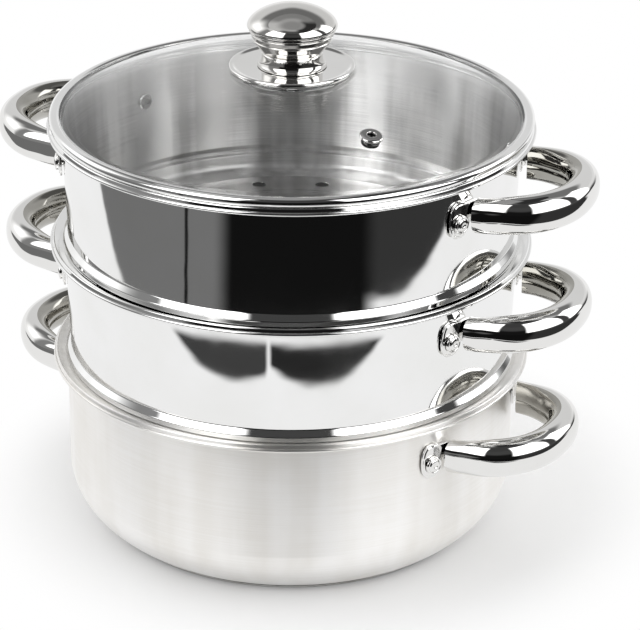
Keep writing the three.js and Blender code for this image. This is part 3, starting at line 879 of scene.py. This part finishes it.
def knob_disc_shape():
    """A saucer with a rolled lip, flat in its middle."""
    lip, dish = knob_levels()[:2]
    crest = lip + KNOB_DISC_RISE
    bore = BOLT_RADIUS + GAP
    foot_round, side_round, top_round, crest_round, dish_round = KNOB_LIP_ROUNDS
    profile = eased([
        (KNOB_DISC_RADIUS - KNOB_DISC_THICKNESS, lip, 0),
        (KNOB_DISC_RADIUS - GAP, lip, foot_round),
        (KNOB_DISC_RADIUS, lip + KNOB_DISC_THICKNESS, side_round),
        (KNOB_DISC_RADIUS - KNOB_LIP_INSET, crest, top_round),
        (KNOB_DISC_CREST, crest, crest_round),
        (KNOB_DISC_CREST - KNOB_LIP_WIDTH, dish + KNOB_DISH_RISE, dish_round),
        (KNOB_FOOT_RADIUS, dish, 0),
        (bore, dish, 0),
        (bore, dish - KNOB_DISC_THICKNESS, 0),
        (KNOB_DISC_CREST - KNOB_UNDER_INSET, dish - KNOB_DISC_THICKNESS, 0),
    ], KNOB_DISC_STEPS)
    return turned([(profile, OUTSIDE)])


def knob_neck_shape():
    """The neck: a foot ring, a waist, and swellings with grooves between them up to the cap."""
    _, _, foot, crease, ridge, flange, seam = knob_levels()
    bore = BOLT_RADIUS + GAP
    tip = seam + KNOB_SPIGOT_HEIGHT - BOLT_COVER
    profile = eased([
        (bore, foot, 0),
        (KNOB_FOOT_RADIUS, foot, KNOB_GROOVE_ROUND),
        (KNOB_FOOT_RADIUS, foot + GAP, 0),
    ])
    profile += curve(
        (KNOB_FOOT_RADIUS, foot + GAP),
        (KNOB_WAIST_RADIUS, foot + KNOB_GROOVE),
        (KNOB_WAIST_RADIUS, crease - KNOB_GROOVE),
        KNOB_WAIST_STEPS,
    )[1:]
    profile += eased([
        (KNOB_WAIST_RADIUS, crease - KNOB_GROOVE, 0),
        (KNOB_WAIST_RADIUS - KNOB_GROOVE, crease, KNOB_GROOVE_ROUND),
        (KNOB_WAIST_RADIUS, crease + KNOB_GROOVE, KNOB_SWELL_ROUND),
        (KNOB_RIDGE_RADIUS, ridge - KNOB_GROOVE, KNOB_RIDGE_ROUND),
        (KNOB_RIDGE_RADIUS - KNOB_GROOVE, ridge, KNOB_GROOVE_ROUND),
        (KNOB_RIDGE_RADIUS, ridge + KNOB_GROOVE, KNOB_SWELL_ROUND),
        (KNOB_FLARE_RADIUS, flange - KNOB_GROOVE, KNOB_SWELL_ROUND),
        (KNOB_FLARE_RADIUS - KNOB_GROOVE, flange, KNOB_GROOVE_ROUND),
        (KNOB_SEAM_RADIUS, flange + KNOB_GROOVE, KNOB_RIDGE_ROUND),
        (KNOB_SEAM_RADIUS, seam, KNOB_SWELL_ROUND),
        (KNOB_SPIGOT_RADIUS, seam, 0),
        (KNOB_SPIGOT_RADIUS, seam + KNOB_SPIGOT_HEIGHT, KNOB_SPIGOT_ROUND),
        (0, seam + KNOB_SPIGOT_HEIGHT, 0),
        (0, tip, 0),
        (bore, tip, 0),
    ])[1:]
    return turned([(profile, OUTSIDE)])


def knob_cap_shape():
    """The round top, hollow where the neck's spigot goes in."""
    base = knob_levels()[-1] + GAP
    widest = base + KNOB_CAP_EDGE
    under = base + KNOB_SPIGOT_HEIGHT
    bore = KNOB_SPIGOT_RADIUS + GAP
    profile = [(0, under), (bore, under), (bore, base)]
    profile += curve(
        (KNOB_SEAM_RADIUS, base),
        (KNOB_CAP_RADIUS, base),
        (KNOB_CAP_RADIUS, widest),
        KNOB_CAP_EDGE_STEPS,
    )
    dome = KNOB_CAP_HEIGHT - KNOB_CAP_EDGE
    for i in range(1, KNOB_CAP_STEPS + 1):
        angle = math.pi / 2 * i / KNOB_CAP_STEPS
        r, rise = superellipse(KNOB_CAP_RADIUS, dome, KNOB_CAP_POWER, angle)
        profile.append((r if i < KNOB_CAP_STEPS else 0, widest + rise))
    return turned([(profile, OUTSIDE)])


# Materials

class Nodes:
    """A material's node tree, written one node at a time."""

    def __init__(self, name):
        self.material = bpy.data.materials.new(name)
        self.material.use_nodes = True
        self.tree = self.material.node_tree
        self.shader = self.tree.nodes["Principled BSDF"]

    def node(self, kind, inputs=(), **settings):
        made = self.tree.nodes.new(kind)
        for key, value in settings.items():
            setattr(made, key, value)
        for key, value in dict(inputs).items():
            self.put(made.inputs[key], value)
        return made

    def put(self, socket, value):
        if isinstance(value, bpy.types.NodeSocket):
            self.tree.links.new(value, socket)
        else:
            socket.default_value = value

    def set(self, **values):
        for key, value in values.items():
            self.put(self.shader.inputs[key.replace("_", " ")], value)

    def place(self, scale=(1, 1, 1)):
        """Object coordinates in millimetres, stretched."""
        place = self.node("ShaderNodeTexCoord").outputs["Object"]
        stretch = tuple(s / MM for s in scale)
        return self.node("ShaderNodeMapping", {"Vector": place, "Scale": stretch}).outputs[0]

    def noise(self, vector, scale, detail):
        inputs = {"Vector": vector, "Scale": scale, "Detail": detail}
        return self.node("ShaderNodeTexNoise", inputs).outputs[0]

    def span(self, value, low, high, start=0.0, end=1.0, way="LINEAR"):
        made = self.node("ShaderNodeMapRange", {
            "Value": value, "From Min": start, "From Max": end, "To Min": low, "To Max": high,
        }, interpolation_type=way)
        return made.outputs[0]

    def maths(self, operation, *values):
        return self.node("ShaderNodeMath", dict(enumerate(values)), operation=operation).outputs[0]

    def within(self, value, half, soft):
        """1 where a value is less than half a width from 0, and 0 outside, with a soft edge."""
        away = self.maths("ABSOLUTE", value)
        return self.span(away, 1.0, 0.0, half - soft, half + soft, "SMOOTHSTEP")

    def length(self, x, y):
        return self.maths(
            "SQRT", self.maths("ADD", self.maths("MULTIPLY", x, x), self.maths("MULTIPLY", y, y)),
        )

    def colours(self, factor, first, second):
        made = self.node("ShaderNodeMix", data_type="RGBA")
        self.put(made.inputs[0], factor)
        self.put(made.inputs[6], (*first, 1))
        self.put(made.inputs[7], (*second, 1))
        return made.outputs[2]

    def bump(self, height, strength, distance):
        made = self.node("ShaderNodeBump", {
            "Height": height, "Strength": strength, "Distance": distance * MM,
        })
        return made.outputs[0]


def brushed_steel(name, light, dark, rough, stretch, upright=0.0):
    """Sheet brushed round the vessel: what it mirrors is drawn out across the brush lines.

    Clouds are some 50 mm across, brush lines half a millimetre high, and upright streaks 20 mm
    wide; "upright" is how strongly the streaks show.
    """
    m = Nodes(name)
    cloud = m.noise(m.place(), scale=0.02, detail=3)
    lines = m.noise(m.place((0.02, 0.02, 2)), scale=1.0, detail=4)
    streaks = m.noise(m.place((1, 1, 0.06)), scale=0.05, detail=3)
    level = m.maths("ADD", cloud, m.maths("MULTIPLY", lines, 0.5))
    level = m.maths("ADD", level, m.maths("MULTIPLY", m.maths("SUBTRACT", streaks, 0.5), upright))
    tone = m.span(level, 0, 1, start=0.5, end=1.0)
    m.set(
        Metallic=1.0,
        Base_Color=m.colours(tone, light, dark),
        Roughness=rough,
        Anisotropic=stretch,
        Anisotropic_Rotation=0.25,
        Tangent=m.node("ShaderNodeTangent", direction_type="RADIAL", axis="Z").outputs[0],
    )
    return m.material


def mirror_steel(name, light, dark, rough, wave=0.0):
    """Polished sheet: faint clouds some 30 mm across, and waves in the sheet 20 mm apart.

    "rough" is the least and the most roughness, and "wave" the height of the waves in mm.
    """
    m = Nodes(name)
    cloud = m.noise(m.place(), scale=0.03, detail=3)
    swell = m.noise(m.place(), scale=0.05, detail=1)
    m.set(
        Metallic=1.0,
        Base_Color=m.colours(m.span(cloud, 0, 1, start=0.3, end=0.7), light, dark),
        Roughness=m.span(cloud, *rough, start=0.35, end=0.65),
        Normal=m.bump(m.maths("MULTIPLY", swell, wave), strength=1.0, distance=1.0),
    )
    return m.material


def clear_glass():
    m = Nodes("clear_glass")
    smear = m.noise(m.place(), scale=0.04, detail=4)
    m.set(
        Base_Color=m.colours(smear, (0.985, 0.99, 0.988), (0.995, 0.997, 0.996)),
        Transmission_Weight=1.0,
        IOR=1.43,
        Roughness=0.0,
    )
    return m.material


def pale_rubber():
    m = Nodes("pale_rubber")
    grain = m.noise(m.place(), scale=1.5, detail=3)
    m.set(
        Base_Color=m.colours(grain, (0.62, 0.62, 0.60), (0.70, 0.70, 0.68)),
        Roughness=m.span(grain, 0.55, 0.75),
        Normal=m.bump(grain, strength=0.3, distance=0.05),
    )
    return m.material


polished = mirror_steel(
    "polished_steel", (0.92, 0.92, 0.92), (0.88, 0.88, 0.87), rough=(0.03, 0.06), wave=0.07,
)
inner = brushed_steel(
    "inner_steel", (0.90, 0.895, 0.89), (0.50, 0.495, 0.49), rough=0.34, stretch=0.92, upright=2.4,
)
tray = brushed_steel(
    "tray_steel", (0.88, 0.875, 0.87), (0.72, 0.715, 0.71), rough=0.11, stretch=0.8,
)
satin = brushed_steel(
    "satin_steel", (0.985, 0.975, 0.96), (0.88, 0.86, 0.825), rough=0.32, stretch=0.85, upright=1.2,
)
chrome = mirror_steel(
    "bright_handles", (0.86, 0.855, 0.845), (0.82, 0.815, 0.80), rough=(0.02, 0.04), wave=0.15,
)
# Darker chrome for the loops' inner side: painted shade
loop_painted_shade = mirror_steel(
    "loop_inside_painted_shade", (0.46, 0.45, 0.42), (0.34, 0.33, 0.30), rough=(0.04, 0.08), wave=0.2,
)
knob_steel = mirror_steel(
    "knob_steel", (0.80, 0.79, 0.77), (0.72, 0.71, 0.69), rough=(0.05, 0.09), wave=0.1,
)
# Near-black steel that paints shade into the steam holes' bores, the base disc's groove and lower
# edge, and the vent's bore
shade_painted_steel = mirror_steel("near_black_shade_paint", (0.03, 0.03, 0.03), (0.02, 0.02, 0.02), rough=(0.3, 0.4))
glass = clear_glass()
rubber = pale_rubber()


# Pieces

def piece(node, body, shape, materials):
    """A mesh in metres that stands for a node of the frame and moves with its body."""
    mesh = bpy.data.meshes.new(f"{node}_looks")
    mesh.from_pydata([tuple(v * MM for v in c) for c in shape.corners], [], shape.faces)
    mesh.polygons.foreach_set("material_index", shape.finishes)
    for material in materials:
        mesh.materials.append(material)
    tidy_mesh(mesh)
    made = bpy.data.objects.new(f"{node}_looks", mesh)
    bpy.context.scene.collection.objects.link(made)
    level = made.modifiers.new("even_shading", "WEIGHTED_NORMAL")
    level.keep_sharp = True
    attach(made, body)
    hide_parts(node)


def tidy_mesh(mesh):
    """Joins doubled corners and marks the sharp edges."""
    work = bmesh.new()
    work.from_mesh(mesh)
    bmesh.ops.remove_doubles(work, verts=work.verts, dist=MERGE_DISTANCE * MM)
    work.to_mesh(mesh)
    work.free()
    mesh.shade_smooth()
    mesh.set_sharp_from_angle(angle=SHARP_ANGLE)


def vessel(name, shape, rim_top, drop, taper, angle, finishes):
    """A vessel's body and its two handles, which sit a drop below its rim."""
    level = rim_top - drop
    radius = wall_radius_at(drop - EAR_HEIGHT / 2, taper)
    inside = wall_radius_at(drop + RIVET_DROP, taper) - SHEET
    piece(f"{name}_body", name, shape.moved(turn(angle)), finishes)
    for side, facing in (("right", 0), ("left", 180)):
        place = turn(angle + facing) @ Matrix.Translation((0, 0, level))
        handle = f"{name}_handle_{side}"
        tube = tube_shape(radius).moved(place)
        piece(f"{handle}_tube", name, tube, [chrome, loop_painted_shade])
        for where, end in (("near", -1), ("far", 1)):
            ear = bracket_shape(radius, end).moved(place)
            piece(f"{handle}_bracket_{where}", name, ear, [chrome])
            rivet = rivet_shape(radius, end, inside).moved(place)
            piece(f"{handle}_rivet_{where}", name, rivet, [chrome])


vessel("pot", pot_shape(), POT_HEIGHT, POT_HANDLE_DROP, 0, 0, [satin, inner])
piece("pot_base_disc", "pot", disc_shape(), [satin, shade_painted_steel])
for name, top, angle in (
    ("steamer_lower", LOWER_TOP, LOWER_TURN),
    ("steamer_upper", UPPER_TOP, UPPER_TURN),
):
    finishes = [polished, inner, tray, shade_painted_steel]
    vessel(name, tier_shape(top), top, HANDLE_DROP, WALL_TAPER, angle, finishes)

piece("lid_rim_band", "lid", band_shape(), [polished])
piece("lid_glass", "lid", glass_shape(), [glass])
piece("lid_vent_eyelet", "lid", vent_shape(), [chrome, shade_painted_steel])
piece("lid_knob_disc", "lid", knob_disc_shape(), [chrome])
piece("lid_knob_neck", "lid", knob_neck_shape(), [knob_steel])
piece("lid_knob_cap", "lid", knob_cap_shape(), [knob_steel])

for node, material in (("lid_knob_washer", rubber), ("lid_knob_bolt", polished)):
    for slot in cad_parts[node].material_slots:
        slot.material = material


# Studio

def stage_mesh(name, corners, faces, material):
    mesh = bpy.data.meshes.new(name)
    mesh.from_pydata(corners, [], faces)
    mesh.materials.append(material)
    made = bpy.data.objects.new(name, mesh)
    bpy.context.scene.collection.objects.link(made)
    return made


def floor_material():
    """Pale floor that takes the shadow near the pot and runs out into plain white."""
    m = Nodes("floor")
    ray = m.node("ShaderNodeLightPath")
    place = m.node("ShaderNodeTexCoord").outputs["Object"]
    x, y, _ = m.node("ShaderNodeSeparateXYZ", {0: place}).outputs
    x = m.maths("SUBTRACT", x, SHADOW_SIDE)
    y = m.maths("SUBTRACT", y, SHADOW_BACK)
    away = m.length(x, y)
    white = m.span(away, SHADOW_KEPT, 1.0, SHADOW_NEAR, SHADOW_FAR, "SMOOTHSTEP")
    plain = m.node("ShaderNodeEmission", {"Color": (1, 1, 1, 1), "Strength": 1.0})
    m.set(Base_Color=(0.97, 0.97, 0.97, 1), Roughness=0.9, Specular_IOR_Level=0.0)
    mix = m.node("ShaderNodeMixShader", {
        0: m.maths("MULTIPLY", ray.outputs["Is Camera Ray"], white),
        1: m.shader.outputs[0],
        2: plain.outputs[0],
    })
    m.tree.links.new(mix.outputs[0], m.tree.nodes["Material Output"].inputs["Surface"])
    return m.material


def patchwork(name, across, base, patches):
    """Light of one strength, with soft-edged patches of others laid over it.

    A patch is (middle azimuth, half its width, from, to, softness, softness, strength), in
    degrees round the pot and in what "across" measures: degrees up, or metres from the pot.
    A line of two points may follow, in metres: the patch ends there, on the line's left.
    """
    m = Nodes(name)
    place = m.node("ShaderNodeTexCoord").outputs["Object"]
    x, y, z = m.node("ShaderNodeSeparateXYZ", {0: place}).outputs
    azimuth = m.maths("DEGREES", m.maths("ARCTAN2", x, m.maths("MULTIPLY", y, -1.0)))
    level = m.length(x, y)
    if across == "elevation":
        level = m.maths("DEGREES", m.maths("ARCTAN2", z, level))
    strength = base
    for middle, half_width, low, high, side_soft, level_soft, value, *line in patches:
        aside = m.maths("WRAP", m.maths("SUBTRACT", azimuth, middle), 180.0, -180.0)
        off = m.maths("SUBTRACT", level, (low + high) / 2)
        inside = m.maths(
            "MULTIPLY",
            m.within(aside, half_width, side_soft),
            m.within(off, (high - low) / 2, level_soft),
        )
        for (x0, y0), (x1, y1) in line:
            length = math.hypot(x1 - x0, y1 - y0)
            square_to_line = ((y1 - y0) / length, (x0 - x1) / length, 0)
            side = m.node(
                "ShaderNodeVectorMath", {0: place, 1: square_to_line}, operation="DOT_PRODUCT",
            ).outputs["Value"]
            edge = (x0 * (y1 - y0) + y0 * (x0 - x1)) / length
            cut = m.span(side, 0.0, 1.0, edge - level_soft, edge + level_soft, "SMOOTHSTEP")
            inside = m.maths("MULTIPLY", inside, cut)
        strength = m.node("ShaderNodeMix", {0: inside, 2: strength, 3: value}).outputs[0]
    light = m.node("ShaderNodeEmission", {"Color": (1, 1, 1, 1), "Strength": strength})
    m.tree.links.new(light.outputs[0], m.tree.nodes["Material Output"].inputs["Surface"])
    return m.material


def turned_to_camera(made):
    """Its -Y points at the camera's side of the pot."""
    made.matrix_world = turn(CAMERA_TURN)
    return made


def only_reflected(made):
    """Seen in metal and through glass alone: the floor's light and shadow don't change."""
    made.visible_camera = False
    made.visible_diffuse = False
    made.visible_shadow = False


def half_sphere(radius):
    """The upper half of a sphere round the pot."""
    corners = []
    for j in range(SHELL_UP + 1):
        up = math.pi / 2 * j / SHELL_UP
        for i in range(SHELL_AROUND):
            a = 2 * math.pi * i / SHELL_AROUND
            out = radius * math.cos(up)
            corners.append((out * math.cos(a), out * math.sin(a), radius * math.sin(up)))
    faces = []
    for j in range(SHELL_UP):
        low, high = j * SHELL_AROUND, (j + 1) * SHELL_AROUND
        for i in range(SHELL_AROUND):
            k = (i + 1) % SHELL_AROUND
            faces.append((low + i, low + k, high + k, high + i))
    return corners, faces


def flat_disc(radius, height):
    angles = [2 * math.pi * i / SHELL_AROUND for i in range(SHELL_AROUND)]
    corners = [(radius * math.cos(a), radius * math.sin(a), height) for a in angles]
    return corners, [tuple(range(SHELL_AROUND))]


def flat_square(half, height):
    signs = ((-1, -1), (1, -1), (1, 1), (-1, 1))
    return [(half * a, half * b, height) for a, b in signs], [(0, 1, 2, 3)]


stage_mesh("floor", *flat_square(FLOOR_HALF, 0), floor_material())

room = stage_mesh(
    "room",
    *half_sphere(ROOM_RADIUS),
    patchwork("room", "elevation", ROOM_BRIGHT, [
        # The back: grey above, white near the floor
        (180, 85, 38, 90, 15, 4, 0.18),
        (180, 105, -10, 11, 10, 1.5, 0.95),
        (180, 75, 11, 17, 15, 2.5, 0.8),
        # Dark boards in front and at the right, and a grey one at the left
        (12, 72, -10, 84, 10, 5, 0.05),
        (60, 80, -10, 8, 12, 4, 0.05),
        (-70, 24, -10, 50, 6, 2, 0.24),
        (-6, 39, -10, 44, 4, 5, 0.06),
        (-6, 39, -10, 20, 4, 6, 0.008),
        # Soft windows at both sides, with a dark bar between the two at the right
        (-114, 20, 14, 46, 12, 12, 1.5),
        (-47, 23, 13, 66, 3, 3, WINDOW),
        (53, 28, 7, 60, 3, 3, WINDOW),
        (87, 7, 5, 48, 2, 3, 0.06),
        (108, 14, 7, 46, 3, 3, WINDOW),
    ]),
)
only_reflected(turned_to_camera(room))
room.visible_transmission = False

# The same room as seen from the vessels' inside, through the glass, where it is three bright strips
within = stage_mesh(
    "within",
    *half_sphere(WITHIN_RADIUS),
    patchwork("within", "elevation", WITHIN_BRIGHT, [
        (-43, 17, -10, 90, 5, 5, 5.0),
        (-22, 6, -10, 90, 2, 5, 1.0),
        (43, 15, -10, 90, 5, 5, 2.6),
        (-100, 13, -10, 90, 5, 5, 6.0),
        (0, 18, -10, 90, 1, 5, 0.02),
    ]),
)
only_reflected(turned_to_camera(within))
within.visible_glossy = False

# A soft light over the lid, grey in its middle and dark toward its edge
overhead = stage_mesh(
    "overhead",
    *flat_disc(OVERHEAD_RADIUS, OVERHEAD_HEIGHT),
    patchwork("overhead", "radius", OVERHEAD_BRIGHT, [
        (0, 181, -0.1, 0.12, 1, 0.06, 0.30),
        (0, 45, 0.15, 0.50, 15, 0.03, 0.09),
        (85, 60, 0.11, 0.50, 15, 0.03, 0.03),
        (180, 50, 0.14, 0.50, 15, 0.04, 0.26),
    ]),
)
only_reflected(turned_to_camera(overhead))

# A white sheet under the pot, with shade and dark boards on it
floor_sheet = stage_mesh(
    "floor_sheet",
    *flat_square(SHEET_HALF, SHEET_LEVEL),
    patchwork("floor_sheet", "radius", SHEET_BRIGHT, [
        # The darker floor beyond the white sheet, which the upper tier's wall shows
        (68, 43, 0.40, 9, 4, 0.008, 0.035, ((0.28, -0.32), (0.50, -0.12))),
        (-70, 55, 0.40, 9, 5, 0.008, 0.17, ((-0.54, 0.09), (-0.42, -0.04))),
        (3, 33, 0.40, 9, 5, 0.008, 0.006),
        # Two dark shapes on the sheet, which the lower tier's wall shows
        (-34.8, 25.3, 0.300, 0.382, 1, 0.006, 0.05, ((-0.282, -0.245), (-0.082, -0.330))),
        (21, 29, 0.300, 0.382, 1, 0.006, 0.02, ((-0.004, -0.342), (0.262, -0.288))),
        # A dark seam between two boards
        (-47, 0.8, 0.41, 1.2, 0.4, 0.01, 0.01),
        # The shade close to the pot and under it
        (0, 181, -0.1, 0.112, 1, 0.020, 0.40),
        (0, 181, -0.1, 0.101, 1, 0.003, 0.02),
    ]),
)
only_reflected(turned_to_camera(floor_sheet))

world = bpy.data.worlds.new("studio")
bpy.context.scene.world = world
world.use_nodes = True
world.node_tree.nodes["Background"].inputs["Color"].default_value = (1, 1, 1, 1)
world.node_tree.nodes["Background"].inputs["Strength"].default_value = 1.0


# Camera

def make_camera():
    """The camera of the photograph, which looks at the pot's axis from its own side."""
    down = math.radians(CAMERA_ELEVATION)
    roll = math.radians(CAMERA_ROLL)
    ahead = Vector((0, math.cos(down), -math.sin(down)))
    right = Vector((1, 0, 0))
    up = right.cross(ahead)
    rolled_right = right * math.cos(roll) + up * math.sin(roll)
    rolled_up = up * math.cos(roll) - right * math.sin(roll)
    place = Vector((CAMERA_SIDE, 0, CAMERA_AIM_HEIGHT)) - ahead * CAMERA_DISTANCE
    pose = Matrix.Identity(4)
    for column, axis in enumerate((rolled_right, rolled_up, -ahead, place * MM)):
        for row in range(3):
            pose[row][column] = axis[row]
    data = bpy.data.cameras.new("camera")
    data.sensor_width = SENSOR_WIDTH
    data.lens = FOCAL_PIXELS * SENSOR_WIDTH / PHOTO_WIDTH
    data.clip_start = CLIP_START
    data.clip_end = CLIP_END
    camera = bpy.data.objects.new("camera", data)
    bpy.context.scene.collection.objects.link(camera)
    camera.matrix_world = turn(CAMERA_TURN) @ pose
    bpy.context.scene.camera = camera


make_camera()
bpy.context.scene.view_settings.view_transform = "Standard"
